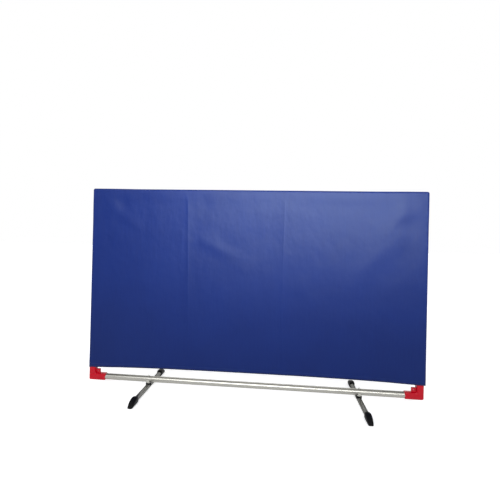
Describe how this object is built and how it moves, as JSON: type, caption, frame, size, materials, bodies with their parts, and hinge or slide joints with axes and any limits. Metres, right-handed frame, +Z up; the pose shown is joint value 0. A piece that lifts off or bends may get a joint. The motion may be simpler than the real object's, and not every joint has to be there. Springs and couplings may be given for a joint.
{
  "type": "table tennis barrier",
  "caption": "Low free-standing court barrier: a cloth cover slipped over a tube frame with moulded corner elbows, on flat cross feet that swivel in under the bottom rail.",
  "frame": {"origin": "on the floor, under the middle of the panel", "axes": "+Z up, +X along the panel towards its right end seen from the front, and the front of the cloth faces -Y"},
  "size_m": [1.409, 0.406, 0.8601],
  "materials": {
    "cloth": "matt woven polyester",
    "red_plastic": "glossy moulding",
    "black_plastic": "matt moulding",
    "light_plastic": "satin moulding",
    "rail_steel": "dull plated tube",
    "foot_steel": "bright plated tube",
    "plated_steel": "zinc plated",
    "screw_steel": "zinc plated"
  },
  "bodies": {
    "frame": {"bottom_rail": "rail_steel", "top_rail": "rail_steel", "left_upright": "rail_steel", "right_upright": "rail_steel", "cover": "cloth", "elbow_bottom_left": "red_plastic", "elbow_bottom_right": "red_plastic", "elbow_top_left": "red_plastic", "elbow_top_right": "red_plastic", "elbow_bottom_left_rail_screw": "screw_steel", "elbow_bottom_left_upright_screw": "screw_steel", "elbow_bottom_right_rail_screw": "screw_steel", "elbow_bottom_right_upright_screw": "screw_steel", "elbow_top_left_rail_screw": "screw_steel", "elbow_top_left_upright_screw": "screw_steel", "elbow_top_right_rail_screw": "screw_steel", "elbow_top_right_upright_screw": "screw_steel", "left_rail_saddle": "light_plastic", "left_pivot_bolt": "plated_steel", "left_lock_nut": "plated_steel", "right_rail_saddle": "light_plastic", "right_pivot_bolt": "plated_steel", "right_lock_nut": "plated_steel"},
    "left_foot": {"left_foot_tube": "foot_steel", "left_swivel_washer": "black_plastic", "left_front_shoe": "black_plastic", "left_rear_shoe": "black_plastic"},
    "right_foot": {"right_foot_tube": "foot_steel", "right_swivel_washer": "black_plastic", "right_front_shoe": "black_plastic", "right_rear_shoe": "black_plastic"}
  },
  "joints": [
    {"name": "left_foot_swivel", "type": "hinge", "parent": "frame", "child": "left_foot", "pos_m": [-0.436, 0, 0.0123], "axis": [0, 0, 1], "range_deg": [-90, 90]},
    {"name": "right_foot_swivel", "type": "hinge", "parent": "frame", "child": "right_foot", "pos_m": [0.45, 0, 0.0123], "axis": [0, 0, 1], "range_deg": [-90, 90]}
  ]
}
